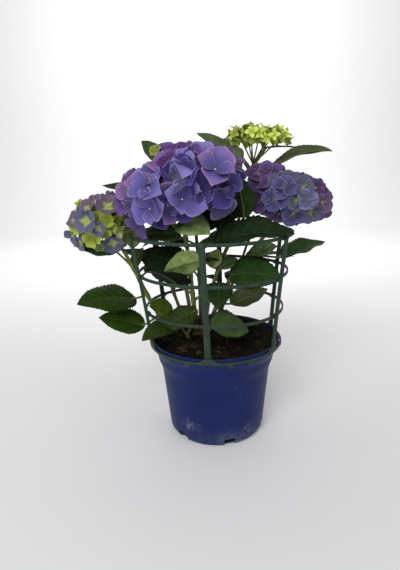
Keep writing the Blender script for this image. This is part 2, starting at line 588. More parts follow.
class Finish:
    """One material, whose node tree is built by short calls that return output sockets."""

    def __init__(self, name, roughness=0.5, specular=0.4, sheen=0.0):
        self.material = bpy.data.materials.new(name)
        self.material.use_nodes = True
        self.tree = self.material.node_tree
        self.shader = self.tree.nodes["Principled BSDF"].inputs
        self.shader["Roughness"].default_value = roughness
        self.shader["Specular IOR Level"].default_value = specular
        self.shader["Sheen Weight"].default_value = sheen

    def put(self, socket, value):
        """Links a socket to another's output, or gives it a plain value or colour."""
        if isinstance(value, bpy.types.NodeSocket):
            self.tree.links.new(value, socket)
        elif socket.type == "RGBA":
            socket.default_value = (*value, 1.0)
        else:
            socket.default_value = value

    def node(self, kind, inputs, **choices):
        """Outputs of a new node of a kind, with its choices made and its inputs filled."""
        node = self.tree.nodes.new(f"ShaderNode{kind}")
        for name, choice in choices.items():
            setattr(node, name, choice)
        for place, value in inputs.items():
            self.put(node.inputs[place], value)
        return node.outputs

    def math(self, operation, a, b=0.0, c=0.0, clamp=False):
        return self.node("Math", {0: a, 1: b, 2: c}, operation=operation, use_clamp=clamp)[0]

    def times(self, a, b, clamp=False):
        return self.math("MULTIPLY", a, b, clamp=clamp)

    def line(self, value, gain, offset):
        """The value times a gain, plus an offset."""
        return self.math("MULTIPLY_ADD", value, gain, offset)

    def most(self, a, b):
        return self.math("MAXIMUM", a, b)

    def mix(self, factor, a, b):
        return self.node("Mix", {0: factor, 6: a, 7: b}, data_type="RGBA")[2]

    def step(self, value, low, high):
        """Rises smoothly from 0 at low to 1 at high."""
        inputs = {"Value": value, "From Min": low, "From Max": high}
        return self.node("MapRange", inputs, interpolation_type="SMOOTHSTEP")[0]

    def mottled(self, cloud, base, dark, light, low=0.3, high=0.7):
        """The base colour times dark where the cloud is low, and times light where it is high."""
        return self.mix(self.step(cloud, low, high), tinted(base, dark), tinted(base, light))

    def over(self, tone, mask, strength, paint):
        """The tone with paint laid over it where the mask is 1, as thick as its strength."""
        return self.mix(self.times(mask, strength), tone, paint)

    def mapping(self, vector, scale):
        return self.node("Mapping", {0: vector, "Scale": scale})[0]

    def place(self, scale=(1, 1, 1)):
        """The object's own coordinates in metres, scaled."""
        return self.mapping(self.node("TexCoord", {})["Object"], scale)

    def split(self, vector):
        return self.node("SeparateXYZ", {0: vector})

    def own_map(self):
        return self.node("UVMap", {}, uv_map="own")[0]

    def own(self):
        """The piece's own map, its places along and across, and how far off its middle line, up to 1."""
        vector = self.own_map()
        along, across, _ = self.split(vector)
        return vector, along, across, self.math("ABSOLUTE", self.line(across, 2.0, -1.0))

    def noise(self, vector, scale, detail=3.0, rough=0.5):
        inputs = {"Vector": vector, "Scale": scale, "Detail": detail, "Roughness": rough}
        return self.node("TexNoise", inputs)[0]

    def cells(self, vector, scale, feature="F1"):
        return self.node("TexVoronoi", {"Vector": vector, "Scale": scale}, feature=feature)["Distance"]

    def near(self, vector, point, radius):
        """1 at a point, given in millimetres, falling to 0 at a radius."""
        inputs = {0: vector, 1: [value / 1000 for value in point]}
        distance = self.node("VectorMath", inputs, operation="DISTANCE")["Value"]
        return self.step(distance, radius / 1000, 0.0)

    def bump(self, height, strength, distance):
        """Relief of a height field, as high as a distance in millimetres."""
        inputs = {"Strength": strength, "Distance": distance / 1000, "Height": height}
        self.put(self.shader["Normal"], self.node("Bump", inputs)[0])

    def done(self, base, roughness):
        self.put(self.shader["Base Color"], base)
        self.put(self.shader["Roughness"], roughness)
        return self.material


def pot_plastic(settings):
    """Blue plastic, faintly mottled, with soft dust towards the foot, one dried splash and a few scuffs."""
    f = Finish("pot_blue_plastic", specular=0.16)
    at = f.place()
    mottle = f.noise(at, 40, 4)
    base = f.mottled(mottle, settings.plastic, 0.88, 1.12)
    low = f.step(f.split(at)[2], 0.030, 0.0)
    film = f.times(low, f.step(f.noise(at, 55, 5, 0.6), 0.40, 0.78))
    film = f.line(film, 0.30, f.times(low, 0.05))
    splash, trail = f.near(at, (-31, -46, 24), 11), f.near(at, (-22, -49.8, 22.5), 8)
    scuff = f.near(at, (31, -45, 14), 15)
    patch = f.most(splash, f.times(f.most(trail, scuff), 0.6))
    patch = f.times(patch, f.step(f.noise(at, 260, 6, 0.65), 0.44, 0.64))
    chips = f.most(f.near(at, (17, -57.6, 70), 5), f.near(at, (22, -55.4, 62), 6))
    chips = f.times(chips, f.step(f.noise(at, 620, 3), 0.60, 0.68))
    marks = f.most(f.times(patch, 0.62), f.times(chips, 0.7))
    dusty = f.math("ADD", film, marks, clamp=True)
    f.bump(f.noise(at, 900, 2), 0.10, 0.3)
    roughness = f.math("ADD", f.times(mottle, 0.12), f.line(dusty, 0.3, 0.42))
    return f.done(f.mix(dusty, base, settings.dust), roughness)


def peat(name, base, dark, light, scale=420.0):
    """Damp peat: coarse grains between a dark and a light tint of its colour, under a finer roughness."""
    f = Finish(name, specular=0.08)
    at = f.place()
    grain = f.noise(at, scale, 6, 0.7)
    tone = f.mottled(grain, base, dark, light, 0.35, 0.72)
    wet = f.step(f.noise(at, 60, 3), 0.4, 0.65)
    f.bump(f.noise(at, scale * 2, 5, 0.7), 0.9, 1.2)
    return f.done(f.mix(wet, tone, tinted(base, dark * 0.6)), f.line(grain, 0.25, 0.7))


def support_plastic(settings):
    """Muted green plastic with a slightly chalky bloom and fine scratches."""
    f = Finish("support_green_plastic", specular=0.22)
    at = f.place()
    cloud = f.noise(at, 90, 5, 0.6)
    base = f.mottled(cloud, settings.plastic, 0.82, 1.2)
    chalk = f.step(f.noise(at, 330, 5, 0.7), 0.62, 0.78)
    f.bump(f.noise(at, 700, 3), 0.15, 0.3)
    return f.done(f.over(base, chalk, 0.22, (0.12, 0.15, 0.13)), f.line(cloud, 0.25, 0.38))


def bark(settings):
    """Yellow brown bark with upright cracks and lighter plates."""
    f = Finish("woody_foot_bark", specular=0.2)
    cracks = f.noise(f.place((420, 420, 90)), 1.0, 5, 0.65)
    base = f.mottled(cracks, settings.bark, 0.35, 1.0, 0.38, 0.6)
    plates = f.step(f.noise(f.place(), 160, 4), 0.5, 0.75)
    f.bump(cracks, 0.8, 1.5)
    return f.done(f.mix(plates, base, tinted(settings.bark, 1.35)), 0.85)


def stem_skin(name, base, foot=None):
    """Smooth green stem skin with small dark pores, and a browner foot where one is given."""
    f = Finish(name, specular=0.35)
    at = f.place()
    pores = f.step(f.cells(f.place((1, 1, 0.45)), 520), 0.20, 0.10)
    cloud = f.noise(at, 120, 3)
    tone = f.mottled(cloud, base, 0.8, 1.2)
    if foot is not None:
        tone = f.mix(f.step(f.split(at)[2], 0.155, 0.118), tone, foot)
    f.bump(f.noise(at, 600, 3), 0.25, 0.4)
    return f.done(f.over(tone, pores, 0.55, (0.045, 0.028, 0.020)), f.line(cloud, 0.2, 0.42))


def leaf_veins(f, vector, along, off, net_width):
    """Vein strength on a leaf from a midrib and side veins that sweep forwards, and its fine net."""
    phase = f.times(f.line(off, -VEIN_SWEEP, along), float(VEIN_PAIRS))
    side = f.times(f.step(f.math("PINGPONG", phase, 0.5), 0.075, 0.0), f.step(off, 1.0, 0.55))
    net = f.step(f.cells(f.mapping(vector, (30, 20, 1)), 1.6, "DISTANCE_TO_EDGE"), net_width, 0.0)
    return f.most(f.step(off, 0.055, 0.012), f.times(side, 0.75)), net


def leaf_top(name, base):
    """Upper side: dark and slightly glossy, paler sunken veins, a fine net, and a thin pale margin."""
    f = Finish(name, specular=0.10)
    vector, along, _, off = f.own()
    veins, net = leaf_veins(f, vector, along, off, 0.10)
    cloud = f.noise(vector, 5, 4)
    pale = blended(tinted(base, 2.2), (0.10, 0.15, 0.045), 0.28)
    tone = f.mottled(cloud, base, 0.72, 1.28, high=0.72)
    for mask, strength in ((net, 0.16), (veins, 0.64), (f.step(off, 0.94, 1.0), 0.35)):
        tone = f.over(tone, mask, strength, pale)
    height = f.math("SUBTRACT", f.times(f.noise(vector, 60, 3), 0.25), veins)
    f.bump(f.math("SUBTRACT", height, f.times(net, 0.35)), 0.35, 0.6)
    return f.done(tone, f.line(cloud, 0.22, 0.42))


def leaf_under(name, base):
    """Underside: pale and matt, with raised, slightly lighter veins."""
    f = Finish(name, specular=0.2)
    vector, along, _, off = f.own()
    veins, net = leaf_veins(f, vector, along, off, 0.14)
    tone = f.mottled(f.noise(vector, 6, 4), base, 0.82, 1.15)
    tone = f.over(tone, net, 0.25, tinted(base, 1.35))
    tone = f.over(tone, veins, 0.5, tinted(base, 1.6))
    f.bump(f.math("ADD", veins, f.times(net, 0.4)), 0.4, 0.6)
    return f.done(tone, 0.7)


def petal(name, base, rim, throat=None, reach=0.12, edge=None):
    """A petal: throat colour at its claw, deep along the middle, rim colour outwards and more on one
    side, a thin pale edge, and fine branching veins."""
    f = Finish(name, roughness=0.6, specular=0.15, sheen=0.08)
    throat = throat or tinted(base, 0.45)
    edge = edge or blended(tinted(rim, 1.5), (0.50, 0.42, 0.70), 0.4)
    vector, along, across, off = f.own()
    outwards = f.most(f.times(off, off), f.step(along, 0.40, 1.05))
    cloud = f.noise(vector, 3.2, 3)
    amount = f.times(outwards, f.line(cloud, 0.8, 0.35))
    amount = f.times(amount, f.line(across, 0.6, 0.7), clamp=True)
    fan = f.noise(f.mapping(vector, (2.5, 34, 1)), 1.0, 3)
    border = f.most(f.step(off, 0.84, 1.0), f.step(along, 0.93, 1.0))
    tone = f.mix(amount, base, rim)
    tone = f.over(tone, f.step(fan, 0.52, 0.72), 0.28, tinted(base, 0.6))
    tone = f.over(tone, f.step(along, 0.75, 0.10), 0.6, tinted(base, 0.42))
    tone = f.over(tone, f.step(along, reach, 0.3 * reach), 0.9, throat)
    tone = f.over(tone, border, 0.7, edge)
    f.bump(f.math("ADD", fan, f.times(cloud, 0.3)), 0.25, 0.4)
    return f.done(tone, f.line(cloud, 0.2, 0.50))


def plain_dot(name, base):
    """Small round buds and eyes, faintly mottled."""
    f = Finish(name, specular=0.3)
    cloud = f.noise(f.own_map(), 6, 3)
    f.bump(cloud, 0.2, 0.2)
    return f.done(f.mottled(cloud, base, 0.8, 1.1), 0.55)


# Pot and soil

# Lengths in millimetres and azimuths in degrees. A notch's half width and steep edge are angles in
# radians, as seen from the pot's middle at the foot's radius.
FOOT_AT = (-18, 4, 0)
POT_AXIS_HOLE = 0.8
LIP_START = 104
NOTCH_COUNT, NOTCH_AZIMUTH, NOTCH_WIDTH, NOTCH_HEIGHT, NOTCH_REACH = 6, 13.5, 12, 9, 46.9
NOTCH_PITCH, NOTCH_FIRST = TAU / NOTCH_COUNT, np.radians(NOTCH_AZIMUTH - 90)
NOTCH_HALF, NOTCH_EDGE = NOTCH_WIDTH / 2 / 51, 0.006

# The soil's mesh, its crumbs and its fibres, most of which lie round two spots.
SOIL_SEED, SOIL_RINGS, SOIL_SIDES, SOIL_EDGE = 11, 56, 150, 66
CRUMB_EDGE, BIG_CRUMBS, BIG_CRUMB, SMALL_CRUMB = 65.5, 0.16, 2.6, 1.1
CRUMB_RING_HEIGHTS = np.array([[-0.75], [-0.2], [0.45], [0.85]])
CRUMB_RING_RADII = np.array([[0.5], [1.0], [0.9], [0.4]])
FIBRE_EDGE, FIBRE_MIDDLE_EDGE, FIBRE_SPOTS = 65, 60, ([[-30, -22]], [[4, -45]])
FIBRES_IN_SPOTS, FIBRES_IN_FIRST_SPOT, SPOT_SIZE = 0.86, 0.55, 6.5


def pot_side(settings, inset):
    """Corners of the pot's outer side from foot to lip, moved inwards by inset."""
    foot, lip = mm(settings.foot_radius), mm(settings.lip_radius)
    corners = [(foot, inset), (52.9, 5), (59.9, 76), (63.8, 85.5), (64.5, 92), (lip, 101)]
    return [(radius - inset, height) for radius, height in corners]


def notched(profile, inset):
    """The same profile where a drain notch bites in: foot points climb the notch's back wall, and
    low side points lie along its roof."""
    r, z = profile.T
    back, roof = NOTCH_REACH - inset, NOTCH_HEIGHT + inset
    side = (r > back) & (z < roof)
    run = run_along(profile)
    run = np.where(side, run - run[side].min(), 0)
    run /= run.max()
    wall = side & (run < 0.5)
    top = side & (run >= 0.5)
    edge = r[top].max()
    radius = np.where(wall, back, np.where(top, back + (edge - back) * (run - 0.5) * 2, r))
    height = np.where(wall, inset + (roof - inset) * run * 2, np.where(top, roof, z))
    return together(radius, height)


def turned(profile, other, angles, amount):
    """A surface of revolution: radius times cos and sin of the angle, blended between two profiles
    by an amount that depends on the angle."""
    blend = profile[:, None] + (other - profile)[:, None] * amount[:, None]
    return around(blend[..., 0], angles, blend[..., 1])


def notch_amount(angles):
    """1 inside a drain notch and 0 outside, with a steep edge."""
    off = np.abs((angles - NOTCH_FIRST + NOTCH_PITCH / 2) % NOTCH_PITCH - NOTCH_PITCH / 2)
    return 1 - smooth(NOTCH_HALF - NOTCH_EDGE, NOTCH_HALF + NOTCH_EDGE, off)


def dense(profile, step):
    """The profile with extra points, so that none of its spans is longer than a step."""
    run = run_along(profile)
    places = np.unique(np.concatenate([run, np.arange(0, run[-1], step)]))
    return together(*(np.interp(places, run, values) for values in profile.T))


def pot_angles():
    """Even steps round the pot, with close steps at the edges of each notch."""
    even = np.linspace(0, TAU, 180, endpoint=False)
    close = np.linspace(-0.008, 0.008, 5)
    middles = NOTCH_FIRST + NOTCH_PITCH * np.arange(NOTCH_COUNT)[:, None]
    edges = middles + np.concatenate([close - NOTCH_HALF, close + NOTCH_HALF])
    return np.unique(np.round(np.concatenate([even, edges.ravel() % TAU]), 6))


class HYDRANGEA_OT_pot(bpy.types.Operator):
    """Turn the pot with its stepped collar, slanting lip and drain notches"""

    bl_idname = "hydrangea.pot"
    bl_label = "Pot"

    def execute(self, context):
        settings = context.scene.hydrangea.pot
        wall, top, lip = mm(settings.wall), mm(settings.height), mm(settings.lip_radius)
        side, inside = pot_side(settings, 0), pot_side(settings, wall)
        foot = rounded([(POT_AXIS_HOLE, 0), *side[:3]], 1.2)
        collar = rounded([*side[1:], (lip, LIP_START)], 4.5)
        edge = rounded([(lip, LIP_START), (lip, top), (lip - wall / 2, top)], 0.9)
        outer = dense(np.concatenate([foot[:-1], collar[1:-1], edge]), 1.4)
        inner = [(lip - wall / 2, top), (lip - wall, top), *inside[::-1], (POT_AXIS_HOLE, wall)]
        inner = dense(rounded(inner, 0.7), 1.6)[1:]
        angles = pot_angles()
        amount = notch_amount(angles)
        skin = Skin()
        skin.tubes(np.concatenate([
            turned(outer, notched(outer, 0), angles, amount),
            turned(inner, notched(inner[::-1], wall)[::-1], angles, amount),
        ]))
        skin.build("pot", [pot_plastic(settings)], "pot", ["pot"])
        return {"FINISHED"}


def soil_height(x, y, top):
    """Lumpy surface, mounded round the plant's foot: broad waves, banked up at the back right, and
    coarse crumbly waves on top."""
    out = np.hypot(x, y)
    open_ground = smooth(16, 28, np.hypot(x - FOOT_AT[0], y - FOOT_AT[1]))
    mound = 8.0 * smooth(36, 8, np.hypot(x + 18, y - 6))
    wave = np.sin(0.21 * x + 1.3) * np.cos(0.17 * y - 0.6) + 0.6 * np.sin(0.11 * (x + y))
    bank = 8.5 * smooth(8, 55, 0.5 * x + 0.8 * y) * smooth(68, 65.5, out)
    points = together(x, y, 0.0)
    fine = 1.3 * waves(points, 12, 3, 4) + 0.7 * waves(points, 4, 4, 2)
    return top + mound + bank * open_ground + (1.9 * wave * open_ground + fine) * smooth(67, 60, out)


class HYDRANGEA_OT_soil(bpy.types.Operator):
    """Fill the pot with peat, then scatter crumbs, chips and fibres on it"""

    bl_idname = "hydrangea.soil"
    bl_label = "Soil"

    def execute(self, context):
        settings = context.scene.hydrangea.soil
        rng = np.random.default_rng(SOIL_SEED)
        self.ground(settings, context.scene.hydrangea.pot, mm(settings.top))
        self.crumbs(settings, mm(settings.top), rng)
        self.fibres(settings, mm(settings.top), rng)
        return {"FINISHED"}

    def ground(self, settings, pot, top):
        """The body of peat: the pot's inside and, over it, rings whose height is the soil's."""
        inset = mm(pot.wall) + 0.5
        side = np.array([(0.5, inset), *pot_side(pot, inset)[:-1], (67.4, top - 1.6), (66.9, top - 0.4)])
        cover = together(np.linspace(SOIL_EDGE, 0.5, SOIL_RINGS), top)
        profile = np.concatenate([dense(side, 6), cover])
        angles = np.linspace(0, TAU, SOIL_SIDES, endpoint=False)
        surface = around(profile[:, :1], angles, profile[:, 1:])
        upper = surface[-SOIL_RINGS:]
        upper[..., 2] = soil_height(upper[..., 0], upper[..., 1], top)
        body = Skin()
        body.tubes(surface)
        body.build("soil", [peat("peat_ground", settings.peat, 1.0, 2.0)], "soil", ["soil"])

    def crumbs(self, settings, top, rng):
        """Lumps of four rings of six points, stretched and roughened, all over the surface."""
        number = settings.crumbs
        radius = CRUMB_EDGE * np.sqrt(rng.uniform(0, 1, number))
        centre = around(radius, rng.uniform(0, TAU, number), 0.0)
        size = rng.uniform(0.5, 1.6, number)
        size *= np.where(rng.uniform(size=number) < BIG_CRUMBS, BIG_CRUMB, SMALL_CRUMB)
        centre[:, 2] = soil_height(centre[:, 0], centre[:, 1], top) + 0.25 * size
        lump = around(CRUMB_RING_RADII, TAU * np.arange(6) / 6, CRUMB_RING_HEIGHTS)
        stretch = rng.uniform(0.6, 1.4, (number, 1, 1, 3)) * [1, 1, 0.75]
        rough = rng.normal(0, 0.16, (number, 4, 6, 3))
        rings = centre[:, None, None] + (lump + rough) * stretch * size[:, None, None, None]
        crumbs = Skin()
        crumbs.tubes(rings, slot=rng.choice(3, number, p=[0.84, 0.14, 0.02]))
        finishes = [
            peat("peat_crumb_dark", settings.peat, 0.9, 2.4, 700),
            peat("peat_crumb_brown", settings.fibre, 0.22, 0.9, 700),
            peat("peat_crumb_red", settings.fibre, 0.5, 1.0, 700),
        ]
        crumbs.build("soil_crumbs", finishes, "soil", ["soil"], flat=True)

    def fibres(self, settings, top, rng):
        """Bowed strands, most of them round two spots near the front: each bows with 1 - t^2."""
        number = settings.fibres
        near = rng.uniform(size=number) < FIBRES_IN_SPOTS
        spot = np.where(rng.uniform(size=(number, 1)) < FIBRES_IN_FIRST_SPOT, *FIBRE_SPOTS)
        loose = rng.uniform(-FIBRE_MIDDLE_EDGE, FIBRE_MIDDLE_EDGE, (number, 2))
        middle = np.where(near[:, None], spot + rng.normal(0, SPOT_SIZE, (number, 2)), loose)
        middle *= np.minimum(1, FIBRE_MIDDLE_EDGE / np.hypot(*middle.T))[:, None]
        turn = rng.uniform(0, TAU, number)[:, None]
        reach = rng.uniform(2.5, 6.5, number)[:, None]
        t = np.linspace(-1, 1, 7)
        bow = rng.normal(0, 0.35, number)[:, None] * reach * (1 - t**2)
        x = middle[:, :1] + np.cos(turn) * t * reach - np.sin(turn) * bow
        y = middle[:, 1:] + np.sin(turn) * t * reach + np.cos(turn) * bow
        inwards = np.minimum(1, FIBRE_EDGE / np.hypot(x, y))
        x, y = x * inwards, y * inwards
        height = soil_height(x, y, top) + 0.3 + rng.uniform(0, 1.2, (number, 1)) * (1 - t**2)
        path = together(x, y, height)
        thick = rng.uniform(0.16, 0.42, (number, 1)) * (1 - 0.6 * np.abs(t))
        rings = round_tube(path, unit(np.gradient(path, axis=1)), thick, 4)
        fibres = Skin()
        fibres.tubes(rings, slot=rng.choice(2, number, p=[0.5, 0.5]))
        finishes = [
            peat("fibre_red", settings.fibre, 0.7, 3.2, 900),
            peat("fibre_dark", settings.fibre, 0.2, 1.0, 900),
        ]
        fibres.build("soil_fibres", finishes, "soil", ["soil"])


# Plant support

# Radii and heights in millimetres, azimuths in degrees, and the lean sideways for each millimetre up.
RING_INNER, RING_OUTER, RING_BOTTOM, RING_TOP = 70.7, 72.5, 102.8, 105.6
FLARE_START = 105.0
TAB_PLACES, TAB_FREE, TAB_WIDTH, TAB_DROP = 21, 9, 5.8, 3.2
UPRIGHTS, FIRST_UPRIGHT, LEAN = 6, -7.7, -0.0168
TAB_STEPS, CLIP_STEPS, UPRIGHT_STEPS = 7, 7, 26
RISE_HALF_ANGLE, FLAT_HALF_ANGLE, RISE_HEIGHT = 9.3, 3, 4
RING_SECTION = {"half_depth": 0.9, "half_height": 1.0, "corner": 0.5}
HOOP_GAP, HOOP_SAG, HOOP_CORNER = 0.4, 0.35, 0.6
UPRIGHT_PITCH = 360 / UPRIGHTS
UPRIGHT_AZIMUTHS = FIRST_UPRIGHT + UPRIGHT_PITCH * np.arange(UPRIGHTS)
RIB_HALF, RIB_PROUD, RIB_FILLET = 1.3, 1.1, 0.5
UPRIGHT_START, UPRIGHT_PAST_HOOP, UPRIGHT_EDGE, UPRIGHT_CORNER = RING_TOP + 3.9, 1.9, 0.9, 0.45
CLIP_HALF_ANGLE, CLIP_HALF_HEIGHT = 3.4, 2.35
HOOPS = {"low": 142.7, "middle": 182.1, "top": 221.5}


def flare(height):
    """Radius of the support's outer face: it grows with height, a little faster higher up."""
    rise = height - FLARE_START
    return RING_OUTER + 0.1 * rise + 0.0002 * rise**2


def polar(azimuth, radius, height, aside=0.0):
    """A point on an azimuth at a radius and height, moved aside from it and as the support leans."""
    a = np.radians(azimuth)
    x = radius * np.sin(a) + aside * np.cos(a) + LEAN * (height - FLARE_START)
    return together(x, aside * np.sin(a) - radius * np.cos(a), height)


def from_upright(azimuth):
    """Degrees from an azimuth to the nearest upright."""
    return np.abs((azimuth - FIRST_UPRIGHT + UPRIGHT_PITCH * 1.5) % UPRIGHT_PITCH - UPRIGHT_PITCH / 2)


def ring_top(azimuth):
    """Top edge of the ring: level, and sweeping up in a square curve to a flat under each upright."""
    off = np.maximum(from_upright(azimuth), FLAT_HALF_ANGLE)
    amount = np.clip((RISE_HALF_ANGLE - off) / (RISE_HALF_ANGLE - FLAT_HALF_ANGLE), 0, 1)
    return RING_TOP + RISE_HEIGHT * amount**2


def section(half_depth, half_height, corner):
    """A rectangle with rounded corners as depth and height, running counterclockwise."""
    quarter = np.radians([[0], [90], [180], [270]])
    angle = quarter + np.radians([0, 45, 90])
    signs = np.sign(together(np.cos(angle[:, 1:2]), np.sin(angle[:, 1:2])))
    inner = signs * [half_depth - corner, half_height - corner]
    return (inner + corner * together(np.cos(angle), np.sin(angle))).reshape(-1, 2)


class HYDRANGEA_OT_support(bpy.types.Operator):
    """Mould the clip-on plant support: rim ring with tabs, six uprights and three hoops"""

    bl_idname = "hydrangea.support"
    bl_label = "Plant support"

    def execute(self, context):
        settings = context.scene.hydrangea.support
        finish = support_plastic(settings)
        self.ring(finish)
        self.uprights(finish, mm(settings.upright_width), mm(settings.thickness))
        self.hoops(finish, mm(settings.hoop_height) / 2, mm(settings.thickness))
        return {"FINISHED"}

    def ring(self, finish):
        """The rim ring, whose top edge rises under each upright, and its tabs."""
        ring = Skin()
        azimuth = np.arange(0, 360, 1.0)[:, None] + FIRST_UPRIGHT
        depth, rise = section(**RING_SECTION).T
        top = ring_top(azimuth)
        height = (top + RING_BOTTOM) / 2 + np.sign(rise) * ((top - RING_BOTTOM) / 2 - (1 - np.abs(rise)))
        ring.tubes(polar(azimuth, (RING_INNER + RING_OUTER) / 2 + depth, height), loop=True)
        places = FIRST_UPRIGHT + 360 / TAB_PLACES * np.arange(TAB_PLACES)
        for place in places[from_upright(places) > TAB_FREE]:
            ring.tubes(self.tab(place))
        ring.build("support_ring", [finish], "cage", ["cage_ring"])

    def tab(self, azimuth):
        """A hook under the ring: a rounded rectangle carried down, tapering and turned inwards."""
        depth, across = section(0.9, TAB_WIDTH / 2, 0.5)[::-1].T
        amount = np.linspace(0, 1, TAB_STEPS)[:, None]
        height = RING_BOTTOM + np.linspace(0.6, -TAB_DROP, TAB_STEPS)[:, None]
        out = RING_INNER + 1.1 - 0.5 * amount**2 + depth * (1 - 0.3 * amount)
        return polar(azimuth, out, height, across * (1 - 0.18 * amount**3))

    def uprights(self, finish, width, thick):
        """Flat bars with a rib outside, whose foot is wider and has no rib."""
        half = [(width / 2 - UPRIGHT_EDGE, -thick), (width / 2, -thick), (width / 2, 0),
                (RIB_HALF + RIB_FILLET, 0), (RIB_HALF, RIB_PROUD)]
        across, proud = rounded(half + [(-x, y) for x, y in half[::-1]], UPRIGHT_CORNER, 3).T
        height = np.linspace(UPRIGHT_START, HOOPS["top"] + UPRIGHT_PAST_HOOP, UPRIGHT_STEPS)[:, None]
        ease = smooth(0, 4, height - height[0])
        out = flare(height) + np.where(proud > 0, proud * ease, proud)
        uprights = Skin()
        for azimuth in UPRIGHT_AZIMUTHS:
            uprights.tubes(polar(azimuth, out, height, across * (1 + 0.25 * (1 - ease))))
        nodes = [f"cage_upright_{k + 1}" for k in range(UPRIGHTS)]
        uprights.build("support_uprights", [finish], "cage", nodes)

    def hoops(self, finish, half_height, thick):
        """Three hoops inside the uprights, each sagging by a sine between them, and their clips."""
        hoops = Skin()
        depth, rise = section(thick / 2, half_height, HOOP_CORNER).T
        azimuth = np.arange(0, 360, 2.0)[:, None]
        for level in HOOPS.values():
            outer = flare(level - half_height) - thick - HOOP_GAP
            sag = HOOP_SAG * np.sin(np.radians(3 * azimuth + level))
            hoops.tubes(polar(azimuth, outer - thick / 2 + depth + sag * 0.5, level + rise + sag), loop=True)
            for upright in UPRIGHT_AZIMUTHS:
                hoops.tubes(self.clip(upright, outer - thick / 2, level, thick))
        hoops.build("support_hoops", [finish], "cage", [f"cage_hoop_{name}" for name in HOOPS])

    def clip(self, azimuth, radius, level, thick):
        """A short collar that ties a hoop to an upright: a flat rounded box along the hoop."""
        depth, rise = section(thick / 2 + 0.45, CLIP_HALF_HEIGHT, 0.5).T
        along = np.linspace(-1, 1, CLIP_STEPS)[:, None]
        fade = 1 - 0.3 * along**4
        return polar(azimuth + CLIP_HALF_ANGLE * along, radius + depth * fade, level + rise * fade)


# Stems and leaves

# Places along a shoot where the woody foot ends, the woody foot's rings, and the leaf's mesh and shape.
STUB_END, LOW_STUB_END = 0.14, 0.2
STEM_SLIM = 0.84
FOOT_HEIGHTS = (99.4, 101.5, 104, 107, 110, 112.4, 113.6, 114)
FOOT_RADII = (11.4, 10.6, 9.2, 8.4, 7.4, 6.0, 4.0, 1.5)
LEAF_TINTS = "dark deep moss green grass mid olive yellow bright soft fresh pale silver".split()
LEAF_COLUMNS, LEAF_STEPS, LEAF_TEETH = 10, 76, 17
LEAF_OUTLINE, DROOP_POWER, RIB_END, PETIOLE_STEPS = (0.62, 0.93), 1.15, 0.92, 14
LEAF_SEED, BUD_RADIUS, BUD_HALF_LENGTH = 5, 3.6, 6.0
KNOT_LENGTH, STEM_RELIEF = 0.02, 0.05


def stub_end(name):
    return LOW_STUB_END if name.startswith("low") else STUB_END


def leafy_from(name):
    return LOW_STUB_END if name.startswith("low") else SHOOTS[name]["leaves"][0][0] - 0.05


def limb(name, start, end, steps, sides, swelling):
    """A stem's stretch as rings round its curve, tapering, with a soft swelling where leaves grow."""
    shoot = SHOOTS[name]
    first, last = shoot["radii"]
    t = np.linspace(start, end, steps)
    centre, tangent = bezier(shoot["curve"], t)
    places = np.array([row[0] for row in shoot["leaves"]])
    knots = np.exp(-(((t[:, None] - places) / KNOT_LENGTH) ** 2)).max(axis=1)
    rings = round_tube(centre, tangent, STEM_SLIM * (first + (last - first) * t) + swelling * knots, sides)
    relief = waves(rings, 9, len(name), 3)[..., None]
    return rings + (rings - centre[:, None]) * relief * STEM_RELIEF


class HYDRANGEA_OT_stems(bpy.types.Operator):
    """Grow the woody foot and the bare stems out of it"""

    bl_idname = "hydrangea.stems"
    bl_label = "Woody foot and stems"

    def execute(self, context):
        settings = context.scene.hydrangea.plant
        foot = Skin()
        angle = TAU * np.arange(40) / 40
        radius = np.array(FOOT_RADII)[:, None] * (1 + 0.12 * np.cos(3 * angle) + 0.05 * np.cos(7 * angle + 1))
        knob = around(radius, angle, np.array(FOOT_HEIGHTS)[:, None])
        knob[..., :2] *= 1 + 0.10 * waves(knob + FOOT_AT, 7, 8, 3)[..., None]
        foot.tubes(knob + FOOT_AT)
        for name in SHOOTS:
            rings = limb(name, 0.0, stub_end(name), 16, 16, 0.3)
            centre = rings.mean(axis=1, keepdims=True)
            rough = 1 + 0.14 * waves(rings, 5, 21, 3)[..., None]
            foot.tubes(centre + (rings - centre) * rough)
        foot.build("woody_foot", [bark(settings)], "wood", ["woody_foot"])

        stems = Skin()
        bare = [name for name in SHOOTS if not name.startswith("low")]
        for name in bare:
            stems.tubes(limb(name, stub_end(name) + 0.002, leafy_from(name) + 0.004, 30, 16, 0.5))
        finish = stem_skin("stem_green", settings.stem, settings.bark)
        stems.build("stems", [finish], "stem", [f"stem_{name}" for name in bare])
        return {"FINISHED"}


